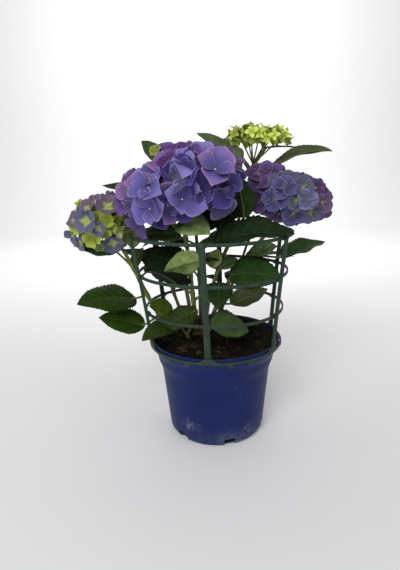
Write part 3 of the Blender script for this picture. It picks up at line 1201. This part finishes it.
def leaf_rings(row, curve, thickness, tooth, rng):
    """A leaf's petiole, midrib and blade as rings.

    The midrib follows a heading whose rise falls off with a power of the place. Across it, which is
    level and then turned by its roll, the blade folds up in proportion to its half width and curls
    back with the square. Sawteeth lengthen the half width, the blade is quilted between veins that
    sweep forwards, and its margin waves."""
    at, petiole_azimuth, petiole_rise, petiole, azimuth, rise, reach, droop, roll, width, fold = row
    root = bezier(curve, [at])[0][0]
    joint = root + heading(petiole_azimuth, petiole_rise) * petiole
    roll, fold = np.radians(roll), np.radians(fold)

    def along(place):
        return heading(azimuth, rise - droop * place**DROOP_POWER)

    place = np.linspace(0, 1, LEAF_STEPS)
    tangent = along(place)
    strides = along((place[1:] + place[:-1]) / 2) * (reach / (LEAF_STEPS - 1))
    spine = joint + np.concatenate([np.zeros((1, 3)), np.cumsum(strides, axis=0)])
    level = unit(np.cross(tangent, [0.0, 0.0, 1.0]))
    side = level * np.cos(roll) - np.cross(level, tangent) * np.sin(roll)
    normal = np.cross(side, tangent)

    u = place[:, None]
    s, upper = both_sides(np.linspace(-1, 1, LEAF_COLUMNS + 1)[:-1])
    off = np.abs(s)
    outline = swell(u, *LEAF_OUTLINE) * reach
    saw = (u * LEAF_TEETH) % 1.0 - 0.5
    half = outline * width / 2 * (1 + tooth * saw * smooth(0.02, 0.15, u))
    phase = VEIN_PAIRS * (u - VEIN_SWEEP * off)
    quilt = np.sin(np.pi * np.abs(phase - np.round(phase))) * (1 - off**4) * smooth(0, 0.1, off)
    ruffle = rng.uniform(0.010, 0.024) * s**2 * np.sin(TAU * (rng.uniform(1.6, 2.6) * u + rng.uniform()))
    twist = rng.normal(0, 0.03) * s * u
    lift = half * (off * np.sin(fold) - 0.15 * off**2) + outline * (0.022 * width * quilt + ruffle + twist)
    lift = lift + upper * thickness / 2 * (1 - off**6)
    out = s * half * np.cos(fold)
    blade = spine[:, None] + side[:, None] * out[..., None] + normal[:, None] * lift[..., None]

    t = np.linspace(0, 1, PETIOLE_STEPS)
    centre, slope = bezier([root, joint, joint + heading(azimuth, rise) * 0.08 * reach], t)
    petiole_rings = round_tube(centre, slope, 1.35 - 0.35 * t + 0.5 * np.exp(-((t / 0.08) ** 2)), 10)
    rib = slice(2, int(LEAF_STEPS * RIB_END), 3)
    rib_radius = np.linspace(1.0, 0.22, LEAF_STEPS)[rib]
    rib_centre = spine[rib] - normal[rib] * (thickness / 2 + rib_radius[:, None] / 4)
    rib_rings = round_tube(rib_centre, tangent[rib], rib_radius, 6)
    return blade, together(u, 0.5 + 0.5 * s), petiole_rings, rib_rings


class HYDRANGEA_OT_leaves(bpy.types.Operator):
    """Grow the leafy shoots: upper stems, petioles and toothed, veined leaves"""

    bl_idname = "hydrangea.leaves"
    bl_label = "Leaves"

    def execute(self, context):
        settings = context.scene.hydrangea.plant
        rng = np.random.default_rng(LEAF_SEED)
        blades, twigs = Skin(), Skin()
        for name, shoot in SHOOTS.items():
            twigs.tubes(limb(name, leafy_from(name) + 0.002, 1.0, 44, 14, 0.6))
            rows = shoot["leaves"] + SMALL_LEAVES.get(name, [])
            for row, tints in zip(rows, shoot["tints"].split()):
                blade, own_map, petiole, rib = leaf_rings(
                    row, shoot["curve"], mm(settings.leaf_thickness), settings.tooth, rng)
                face, _, back = tints.partition("/")
                under = LEAF_TINTS.index(back) if back else len(LEAF_TINTS) + int(rng.integers(2))
                slots = np.repeat([[LEAF_TINTS.index(face), under]], LEAF_COLUMNS, axis=1)
                blades.tubes(blade, slot=slots, own_map=own_map)
                twigs.tubes(petiole)
                twigs.tubes(rib)
        finishes = [leaf_top(f"leaf_top_{tint}", getattr(settings, tint)) for tint in LEAF_TINTS]
        finishes.append(leaf_under("leaf_under_pale", settings.under))
        finishes.append(leaf_under("leaf_under_grey", tinted(settings.under, 0.7)))
        nodes = [f"foliage_{name}" for name in SHOOTS]
        blades.build("leaves", finishes, "leaf", nodes, mapped=True)
        bud, bud_axis = bezier(SHOOTS["blind"]["curve"], [1.0])
        twigs.tubes(ball(bud, bud_axis, BUD_RADIUS, BUD_HALF_LENGTH))
        twigs.build("leafy_twigs", [stem_skin("twig_green", tinted(settings.stem, 1.15))], "stem", nodes)
        return {"FINISHED"}


# Flower heads

# A kind of petal: its half width, the powers of its outline at base and tip, how far it rises, bends
# back and folds up, and how strongly it waves.
POINTED = dict(width=0.61, base=0.88, tip=1.08, cup=0.40, reflex=0.30, fold=0.40, ruffle=0.10)
ROUND = dict(width=0.56, base=0.72, tip=0.72, cup=0.44, reflex=0.24, fold=0.44, ruffle=0.14)
CUPPED = dict(width=0.56, base=0.62, tip=0.40, cup=0.50, reflex=0.12, fold=0.45, ruffle=0.06)
STARRY = dict(width=0.38, base=0.70, tip=1.05, cup=0.60, reflex=0.30, fold=0.45, ruffle=0.06)

# Florets deeper down; shares of a span within which a place is taken or crowded, and how far a
# crowded floret sinks; and how far florets with a place of their own stand forward or back.
INNER_DEPTH, INNER_SCALE = 0.64, 0.9
TAKEN, CROWDED, SUNK = 0.46, 0.85, 0.93
BIG_FLORET, BIG_FLORET_FORWARD, SMALL_FLORET_BACK = 56, 2.5, 2.0

# Arms of a head's stalk, and the young head's florets and buds.
HEAD_ARMS, ARM_SKIRT, ARM_REACH, HUB_PLACE, KNEE = 9, 100, 0.42, 0.35, 5
YOUNG_SEED, YOUNG_FLORETS, YOUNG_SKIRT, YOUNG_BUDS = 77, 8, 104, 7


def petals(centre, outward, turn, reach, form, rng, steps=9, columns=5):
    """Four petals for each floret, as rings of thin closed blades, each with a length of its own.

    Along a petal its half width is a power of the place times a power of what is left. It rises
    from the floret's middle with the square of the place, bends back with the fourth power, folds up
    at both sides of its middle line, leans to one side, and waves at its margin. Its points lie
    closer together towards the margin, by a power of a cosine."""
    number = len(centre)
    first = unit(np.cross([0.3, 0.2, 1.0], outward))
    second = np.cross(outward, first)
    angle = (turn[:, None] + np.pi / 2 * np.arange(4) + rng.normal(0, 0.07, (number, 4)))[..., None]
    along = np.cos(angle) * first[:, None] + np.sin(angle) * second[:, None]
    side = np.cross(along, outward[:, None])

    u = np.linspace(0.02, 1, steps)[:, None]
    top = -np.cos(np.pi * np.arange(columns) / columns)
    s, upper = both_sides(np.sign(top) * np.abs(top) ** 0.6)
    half = form["width"] * swell(u, form["base"], form["tip"])

    def varied(name, amount):
        return form[name] * (1 + rng.normal(0, amount, (number, 4, 1, 1)))

    phase = rng.uniform(0, TAU, (number, 4, 1, 1))
    skew = rng.normal(0, 0.18, (number, 4, 1, 1))
    rise = varied("cup", 0.35) * u**2 - varied("reflex", 0.55) * u**4
    rise = rise + half * (varied("fold", 0.3) * np.abs(s) ** 1.5 + skew * s * u)
    rise = rise + half * form["ruffle"] * s * np.sin(5 * u + phase)
    rise = rise + np.array([-0.02, 0.03, -0.02, 0.03])[:, None, None] * smooth(0.0, 0.4, u)
    size = reach[..., None, None]
    thick = 0.22 * upper * (1 - np.abs(s) ** 4)
    shift = (
        (u * size)[..., None] * along[:, :, None, None]
        + (half * s * size)[..., None] * side[:, :, None, None]
        + (rise * size + thick)[..., None] * outward[:, None, None, None]
    )
    points = centre[:, None, None, None] + shift
    return points.reshape(-1, steps, 2 * columns, 3), together(u, 0.5 + 0.5 * s)


def head_places(head, number, depth, rng):
    """Floret places over a tilted ellipsoid at a share of its depth, with their outward headings."""
    place = spread(number, head["skirt"])
    half = np.array(head["half"], float)
    tilt = np.radians(-head["tilt"])
    turn = np.array([[np.cos(tilt), 0, np.sin(tilt)], [0, 1, 0], [-np.sin(tilt), 0, np.cos(tilt)]])
    level = depth * (1 + rng.normal(0, 0.05, (number, 1)))
    point = (place * half * level) @ turn.T + head["centre"]
    outward = unit((place / half) @ turn.T)
    return place, point, unit(outward + rng.normal(0, 0.14, (number, 3)))


def shoot_tip(name):
    """Tip and heading of the shoot that carries a head."""
    tip, along = bezier(SHOOTS[name]["curve"], [1.0])
    return tip[0], along[0]


def head_stalks(skin, name, head, florets, outwards):
    """A head's branches: a stout stalk from the shoot, nine arms, and a thin curved one to each
    floret, whose middle corner lies below the floret along its own heading."""
    tip, along = shoot_tip(name)
    knee = tip + along * KNEE
    hub = knee + (np.array(head["centre"], float) - knee) * HUB_PLACE
    thick = SHOOTS[name]["radii"][1]
    skin.tubes(stalk([tip - along, knee, hub], thick, thick, 8, 12))
    arms = head["centre"] + spread(HEAD_ARMS, ARM_SKIRT) * np.array(head["half"]) * ARM_REACH
    skin.tubes(stalk([hub, (hub + arms) / 2 - [0, 0, 2], arms], 1.5, 0.9, 7, 8))
    start = arms[np.linalg.norm(florets[:, None] - arms, axis=2).argmin(axis=1)]
    gap = np.linalg.norm(florets - start, axis=1, keepdims=True)
    skin.tubes(stalk([start, florets - outwards * gap * 0.5, florets], 0.75, 0.5, 6, 5))


def own_place(row, half):
    """Offset, heading, turn, petal lengths and colour of a floret from its row in FLORETS."""
    offset = np.array(row[0], float)
    if len(row) == 4:
        azimuth, rise, turn = row[1]
        outward = heading(azimuth, rise)
        offset = offset + outward * (BIG_FLORET_FORWARD if sum(row[2]) > BIG_FLORET else -SMALL_FLORET_BACK)
        return offset, outward, np.radians(turn), np.array(row[2], float), row[3]
    outward = unit(unit(offset / half**2) + [0, -0.7, 0.1])
    return offset, outward, None, np.full(4, row[1] / 2.0), row[2]


def main_rule(place, rng, inner):
    """Blue in front, pink at the left edge, slate and mauve to the right; dusk inside."""
    number = len(place)
    names = rng.choice(["blue", "rimmed", "violet", "dusk"], number, p=[0.4, 0.2, 0.2, 0.2]).astype(object)
    names[rng.uniform(size=number) < np.clip(-place[:, 0] * 0.8, 0, 1)] = "pink"
    names[rng.uniform(size=number) < np.clip(place[:, 0] - 0.2, 0, 1) * 0.8] = "slate"
    names[rng.uniform(size=number) < 0.10] = "magenta"
    if inner:
        names[:] = rng.choice(["dusk", "violet"], number, p=[0.7, 0.3])
    return names, np.ones(number)


def left_rule(place, rng, inner):
    """Small lime florets through the middle, grown slate and mauve ones scattered towards the rim."""
    number = len(place)
    grown = rng.uniform(size=number) < 0.12 + 0.18 * smooth(0.1, -0.4, place[:, 2])
    mauve = (place[:, 1] > -0.1) | (place[:, 0] < -0.75)
    fine = rng.choice(["lime", "cream", "olive"], number, p=[0.62, 0.14, 0.24])
    names = np.where(grown, np.where(mauve, "mauve", "slate"), np.where(inner, "olive", fine))
    return names, np.where(grown, 1.1, 1.0)


def right_rule(place, rng, inner):
    """Plum at the left and right edges and the top, slate and grey through the middle."""
    number = len(place)
    plum = np.clip(np.abs(place[:, 0] + 0.1) + place[:, 2] * 0.3, 0, 0.85)
    names = rng.choice(["slate", "grey", "violet"], number, p=[0.45, 0.3, 0.25])
    dark = rng.choice(["plum", "violet", "mauve"], number, p=[0.6, 0.2, 0.2])
    names = np.where(rng.uniform(size=number) < plum, dark, names)
    return np.where(inner, "plum", names), np.full(number, 0.92)


def back_rule(place, rng, inner):
    """Blue and violet, with some slate; dusk inside."""
    names = rng.choice(["blue", "violet", "slate"], len(place), p=[0.45, 0.35, 0.2])
    return np.where(inner, "dusk", names), np.ones(len(place))


def main_petals(s):
    """Colours of the main head's petals, as the arguments of their finishes."""
    return {
        "blue": (s.blue, blended(tinted(s.light, 0.95), s.pink, 0.3)),
        "rimmed": (s.blue, tinted(s.pink, 1.3)),
        "light": (s.light, blended(tinted(s.light, 1.3), s.pink, 0.25)),
        "violet": (s.violet, blended(tinted(s.violet, 1.4), s.pink, 0.3)),
        "pink": (blended(s.pink, s.violet, 0.35), tinted(s.pink, 1.2)),
        "magenta": (s.magenta, tinted(s.magenta, 1.5)),
        "mauve": (s.mauve, tinted(s.mauve, 1.4)),
        "slate": (s.slate, blended(s.slate, s.pink, 0.3)),
        "green": (blended(s.slate, s.lime, 0.1), blended(s.slate, s.pink, 0.15), s.lime, 0.16),
        "dusk": (s.dusk, tinted(s.dusk, 1.9)),
        "lime": (tinted(s.lime, 0.75), s.lime, tinted(s.lime, 0.6), 0.2, tinted(s.lime, 1.3)),
    }


def left_petals(s):
    """Colours of the left head's petals, as the arguments of their finishes."""
    slate_rim = blended(blended(tinted(s.slate, 1.7), s.grey, 0.5), s.pink, 0.12)
    mauve = blended(tinted(s.mauve, 1.2), s.lime, 0.12)
    return {
        "lime": (s.lime, tinted(s.lime, 1.25), tinted(s.lime, 0.7), 0.3, tinted(s.lime, 1.5)),
        "cream": (s.cream, tinted(s.cream, 1.1), s.lime, 0.3, tinted(s.cream, 1.2)),
        "slate": (s.grey, slate_rim, blended(s.lime, s.cream, 0.4), 0.46),
        "mauve": (mauve, tinted(s.mauve, 1.4), blended(s.lime, s.cream, 0.5), 0.46),
        "olive": (blended(s.lime, s.grey, 0.3), blended(s.lime, s.grey, 0.5), tinted(s.lime, 0.7), 0.3),
    }


def right_petals(s):
    """Colours of the right head's petals, as the arguments of their finishes."""
    plum_rim = blended(tinted(s.plum, 1.6), s.pink, 0.15)
    slate_rim = blended(tinted(s.slate, 1.6), s.pink, 0.25)
    pale, pale_rim = blended(s.grey, s.light, 0.3), blended(tinted(s.grey, 1.5), s.light, 0.5)
    violet, violet_rim = blended(s.violet, s.plum, 0.5), blended(s.violet, s.pink, 0.5)
    return {
        "plum": (s.plum, plum_rim, blended(s.plum, s.lime, 0.2), 0.2),
        "slate": (s.slate, slate_rim, blended(s.grey, s.lime, 0.3), 0.26),
        "grey": (tinted(s.grey, 0.85), blended(s.grey, s.violet, 0.45), blended(s.grey, s.lime, 0.5), 0.32),
        "pale": (pale, pale_rim, blended(s.grey, s.lime, 0.5), 0.30),
        "violet": (violet, violet_rim, blended(s.plum, s.lime, 0.3), 0.25),
        "mauve": (s.mauve, tinted(s.mauve, 1.4), blended(s.mauve, s.lime, 0.3), 0.3),
    }


def back_petals(s):
    """Colours of the back head's petals, as the arguments of their finishes."""
    return {
        "blue": (s.blue, blended(s.blue, s.light, 0.7)),
        "violet": (s.violet, blended(tinted(s.violet, 1.4), s.pink, 0.3)),
        "slate": (s.slate, blended(s.slate, s.pink, 0.3)),
        "dusk": (s.dusk, tinted(s.dusk, 1.9)),
    }


def young_finishes(s):
    """Three greens of the young head's petals, and its buds' green."""
    def green(factor):
        return tinted(tinted(s.lime, 1.45), factor)

    bright_rim = blended(green(1.9), s.cream, 0.25)
    return [
        petal("petal_young_lime", green(0.9), green(1.2), green(0.7), 0.25, green(1.4)),
        petal("petal_young_bright", green(1.6), bright_rim, green(0.8), 0.3, s.cream),
        petal("petal_young_green", green(0.72), green(0.9), green(0.5), 0.25, green(1.0)),
        plain_dot("young_bud", green(1.1)),
    ]


class HYDRANGEA_OT_blooms(bpy.types.Operator):
    """Open the flower heads: main, left, right, back and the young one, with their stalks"""

    bl_idname = "hydrangea.blooms"
    bl_label = "Flower heads"

    def execute(self, context):
        s = context.scene.hydrangea.bloom
        stalks = Skin()
        self.head("main", s.main_span, POINTED, main_rule, main_petals(s), s.eye, stalks)
        self.head("left", s.left_span, CUPPED, left_rule, left_petals(s), tinted(s.lime, 1.2), stalks)
        right_eye = blended(s.lime, s.cream, 0.5)
        self.head("right", s.right_span, ROUND, right_rule, right_petals(s), right_eye, stalks)
        self.head("back", s.back_span, POINTED, back_rule, back_petals(s), tinted(s.eye, 0.9), stalks)
        self.young(s, stalks)
        finish = stem_skin("flower_stalk_green", tinted(context.scene.hydrangea.plant.stem, 0.8))
        stalks.build("flower_stalks", [finish], "stem", [f"bloom_{name}" for name in (*HEADS, "young")])
        return {"FINISHED"}

    def head(self, name, span, form, rule, palette, eye, stalks):
        """One head: the florets that have a place of their own, others between them all over the
        dome, darker ones in the gaps deeper down, and their eyes."""
        head, span = HEADS[name], mm(span)
        rng = np.random.default_rng(len(name) * 7 + 3)
        colours = list(palette)
        centre, half = np.array(head["centre"], float), np.array(head["half"], float)
        placed = [own_place(row, half) for row in FLORETS.get(name, [])]
        points = [centre + row[0] for row in placed]
        outwards = [row[1] for row in placed]
        turns = [rng.uniform(0, TAU) if row[2] is None else row[2] for row in placed]
        reaches = [row[3] * rng.uniform(1.08, 1.18, 4) for row in placed]
        slots = [colours.index(row[4]) for row in placed]
        own = np.array(points).reshape(-1, 3)
        layers = ((head["outer"], head["depth"], 1.0, False), (head["inner"], INNER_DEPTH, INNER_SCALE, True))
        for number, depth, scale, inner in layers:
            place, point, outward = head_places(head, number, depth, rng)
            names, size = rule(place, rng, inner)
            away = np.linalg.norm(point[:, None] - own, axis=2).min(axis=1, initial=99)
            size = span * scale * size * rng.uniform(0.9, 1.1, number)
            sink = np.where(away < CROWDED * span, SUNK, 1.0)
            for k in np.flatnonzero((away > TAKEN * span) | inner):
                points.append(centre + (point[k] - centre) * sink[k])
                outwards.append(outward[k])
                turns.append(rng.uniform(0, TAU))
                reaches.append(size[k] / 2 * rng.uniform(0.82, 1.12, 4))
                slots.append(colours.index(names[k]))
        points, outwards, turns, reaches = map(np.array, (points, outwards, turns, reaches))
        blades, own_map = petals(points, outwards, turns, reaches, form, rng)
        florets = blades.reshape(len(points), -1, 3)
        shift = np.maximum(REACH[0] - florets.min(axis=1), 0) + np.minimum(REACH[1] - florets.max(axis=1), 0)
        points = points + shift
        blades = (florets + shift[:, None]).reshape(blades.shape)
        skin = Skin()
        skin.tubes(blades, slot=np.repeat(slots, 4), own_map=own_map)
        radius = np.minimum(1.1, reaches.mean(axis=1, keepdims=True) * 0.11)
        skin.tubes(ball(points + outwards * 0.7, outwards, radius, 1.0), slot=len(colours))
        head_stalks(stalks, name, head, points, outwards)
        finishes = [petal(f"petal_{name}_{key}", *values) for key, values in palette.items()]
        finishes.append(plain_dot(f"eye_{name}", eye))
        skin.build(f"bloom_{name}", finishes, f"bloom_{name}", [f"bloom_{name}"], mapped=True)

    def young(self, s, stalks):
        """The young head: a stalk forks into arms, each ending in a dome of small starry florets."""
        rng = np.random.default_rng(YOUNG_SEED)
        tip, along = shoot_tip("young")
        fork = tip + along * YOUNG_HEAD["fork"]
        stalks.tubes(stalk([tip - along, (tip + fork) / 2, fork], 1.6, 1.6, 5, 12))
        azimuths = 360 * np.arange(YOUNG_HEAD["clusters"]) / YOUNG_HEAD["clusters"] + 90
        out = heading(azimuths, 0) * [*YOUNG_HEAD["half"], 0] * YOUNG_HEAD["reach"]
        middles = np.concatenate([out - [0, 0, 2], np.zeros((1, 3))]) + YOUNG_HEAD["centre"]
        middles[:, 2] -= 0.1 * (middles[:, 0] - YOUNG_HEAD["centre"][0])
        leans = np.concatenate([unit(out / 24 + [0, 0, 1.6]), [[0, 0, 1.0]]])
        skin = Skin()
        for middle, lean in zip(middles, leans):
            end = middle - lean * 5
            stalks.tubes(stalk([fork, (fork + end) / 2 - [0, 0, 1.0], end], 0.95, 0.65, 9, 8))
            place = spread(YOUNG_FLORETS, YOUNG_SKIRT)
            side = unit(np.cross([0.1, 1.0, 0.0], lean))
            basis = np.stack([side, np.cross(lean, side), lean])
            outward = unit(place @ basis + rng.normal(0, 0.12, place.shape))
            point = end + outward * rng.uniform(7.5, 10, (len(place), 1)) * [1, 1, 0.9]
            reach = mm(s.young_span) / 2 * rng.uniform(0.8, 1.12, (len(place), 4))
            slots = rng.choice([0, 1, 2], len(place), p=[0.4, 0.35, 0.25])
            turn = rng.uniform(0, TAU, len(place))
            blades, own_map = petals(point, outward, turn, reach, STARRY, rng, 6, 3)
            blades[..., 2] -= max(0, blades[..., 2].max() - REACH[1, 2])
            skin.tubes(blades, slot=np.repeat(slots, 4), own_map=own_map)
            skin.tubes(ball(point + outward * 0.5, outward, 0.85, 0.9, 6, 6), slot=3)
            buds = unit(rng.normal(size=(YOUNG_BUDS, 3)) + lean) * rng.uniform(5, 8, (YOUNG_BUDS, 1)) + end
            skin.tubes(ball(buds, unit(buds - end), 1.0, 1.3, 6, 6), slot=3)
            for target in (point, buds):
                stalks.tubes(stalk([end, target], 0.35, 0.35, 4, 5))
        skin.build("bloom_young", young_finishes(s), "bloom_young", ["bloom_young"], mapped=True)


# Stage

SENSOR_WIDTH, FOCAL_PIXELS, IMAGE_HEIGHT = 36.0, 428.2, 570.0
CAMERA_PITCH, CAMERA_ROLL = np.radians(14.56), np.radians(-1.47)
CAMERA_PLACE = (-0.0155, -0.4486, 0.2812)


def hung(name, data, right, up, back, place):
    """An object whose axes are the three given ones and whose origin is at a place."""
    matrix = np.eye(4)
    matrix[:3] = np.stack([right, up, back, place], axis=1)
    thing = bpy.data.objects.new(name, data)
    thing.matrix_world = Matrix(matrix.tolist())
    bpy.context.scene.collection.objects.link(thing)
    return thing


def hang_light(name, place, size, watts, target=(0, 0, 0.2)):
    """A square area light at a place, facing its target."""
    data = bpy.data.lights.new(name, "AREA")
    data.size, data.energy = size, watts
    back = -unit(np.subtract(target, place))
    right = unit(np.cross([0, 0, 1.0], back))
    hung(name, data, right, np.cross(back, right), back, place)


class HYDRANGEA_OT_stage(bpy.types.Operator):
    """Lay the pale floor and backdrop, hang the soft lights and set the camera"""

    bl_idname = "hydrangea.stage"
    bl_label = "Floor, lights and camera"

    def execute(self, context):
        settings = context.scene.hydrangea.stage
        self.backdrop(settings)
        hang_light("key", (-0.5, -1.3, 1.05), 0.9, settings.key)
        hang_light("fill", (1.1, -0.8, 0.9), 1.0, settings.fill)
        hang_light("backdrop_light", (0.0, 0.9, 1.5), 1.4, settings.back, (0.0, 2.3, 0.5))
        world = bpy.data.worlds.new("surround")
        world.use_nodes = True
        background = world.node_tree.nodes["Background"]
        background.inputs["Color"].default_value = (0.97, 0.98, 1.0, 1.0)
        background.inputs["Strength"].default_value = settings.sky
        context.scene.world = world
        context.scene.view_settings.view_transform = "Standard"
        self.camera(context.scene)
        return {"FINISHED"}

    def backdrop(self, settings):
        """A sheet of paper: floor, a quarter turn of cosine and sine, and wall."""
        bend = np.linspace(0, np.pi / 2, 13)
        depth = np.concatenate([[-3.0], 1.6 + 0.8 * np.sin(bend), [2.4]])
        height = np.concatenate([[0.0], 0.8 - 0.8 * np.cos(bend), [3.2]])
        points = together(np.linspace(-4, 4, 9), depth[:, None], height[:, None])
        rows, columns = points.shape[:2]
        i = np.arange(rows - 1)[:, None] * columns + np.arange(columns - 1)
        faces = together(i, i + 1, i + columns + 1, i + columns).reshape(-1, 4)
        mesh = bpy.data.meshes.new("backdrop")
        mesh.from_pydata(points.reshape(-1, 3).tolist(), [], faces.tolist())
        mesh.polygons.foreach_set("use_smooth", np.ones(len(faces), bool))
        f = Finish("stage_paper", specular=0.1)
        tone = f.mix(f.noise(f.place(), 3, 2), tinted(settings.floor, 0.985), settings.floor)
        mesh.materials.append(f.done(tone, 0.9))
        backdrop = bpy.data.objects.new("backdrop", mesh)
        bpy.context.scene.collection.objects.link(backdrop)

    def camera(self, scene):
        """The photograph's camera: its place, pitch, roll and lens."""
        data = bpy.data.cameras.new("camera")
        data.sensor_width = SENSOR_WIDTH
        data.lens = FOCAL_PIXELS * SENSOR_WIDTH / IMAGE_HEIGHT
        data.clip_start, data.clip_end = 0.01, 20.0
        right = np.array([1.0, 0.0, 0.0])
        up = np.array([0.0, np.sin(CAMERA_PITCH), np.cos(CAMERA_PITCH)])
        back = np.array([0.0, -np.cos(CAMERA_PITCH), np.sin(CAMERA_PITCH)])
        rolled_right = right * np.cos(CAMERA_ROLL) + up * np.sin(CAMERA_ROLL)
        rolled_up = up * np.cos(CAMERA_ROLL) - right * np.sin(CAMERA_ROLL)
        scene.camera = hung("camera", data, rolled_right, rolled_up, back, CAMERA_PLACE)


OPERATORS = (
    HYDRANGEA_OT_stage,
    HYDRANGEA_OT_pot,
    HYDRANGEA_OT_soil,
    HYDRANGEA_OT_support,
    HYDRANGEA_OT_stems,
    HYDRANGEA_OT_leaves,
    HYDRANGEA_OT_blooms,
)


class HYDRANGEA_PT_panel(bpy.types.Panel):
    """Settings and a button for each group of pieces"""

    bl_idname = "HYDRANGEA_PT_panel"
    bl_label = "Potted Hydrangea"
    bl_space_type = "VIEW_3D"
    bl_region_type = "UI"
    bl_category = "Hydrangea"

    def draw(self, context):
        settings = context.scene.hydrangea
        for group in ("pot", "soil", "support", "plant", "bloom", "stage"):
            box = self.layout.box()
            box.label(text=group.capitalize())
            values = getattr(settings, group)
            for name in values.bl_rna.properties.keys():
                if name not in {"rna_type", "name"}:
                    box.prop(values, name)
        for operator in OPERATORS:
            self.layout.operator(operator.bl_idname)


CLASSES = (
    PotSettings,
    SoilSettings,
    SupportSettings,
    PlantSettings,
    BloomSettings,
    StageSettings,
    HydrangeaSettings,
    *OPERATORS,
    HYDRANGEA_PT_panel,
)


def register():
    for each in CLASSES:
        bpy.utils.register_class(each)
    bpy.types.Scene.hydrangea = bpy.props.PointerProperty(type=HydrangeaSettings)


def unregister():
    del bpy.types.Scene.hydrangea
    for each in reversed(CLASSES):
        bpy.utils.unregister_class(each)


def main():
    register()
    bpy.ops.hydrangea.stage()
    bpy.ops.hydrangea.pot()
    bpy.ops.hydrangea.soil()
    bpy.ops.hydrangea.support()
    bpy.ops.hydrangea.stems()
    bpy.ops.hydrangea.leaves()
    bpy.ops.hydrangea.blooms()


if __name__ == "__main__":
    main()
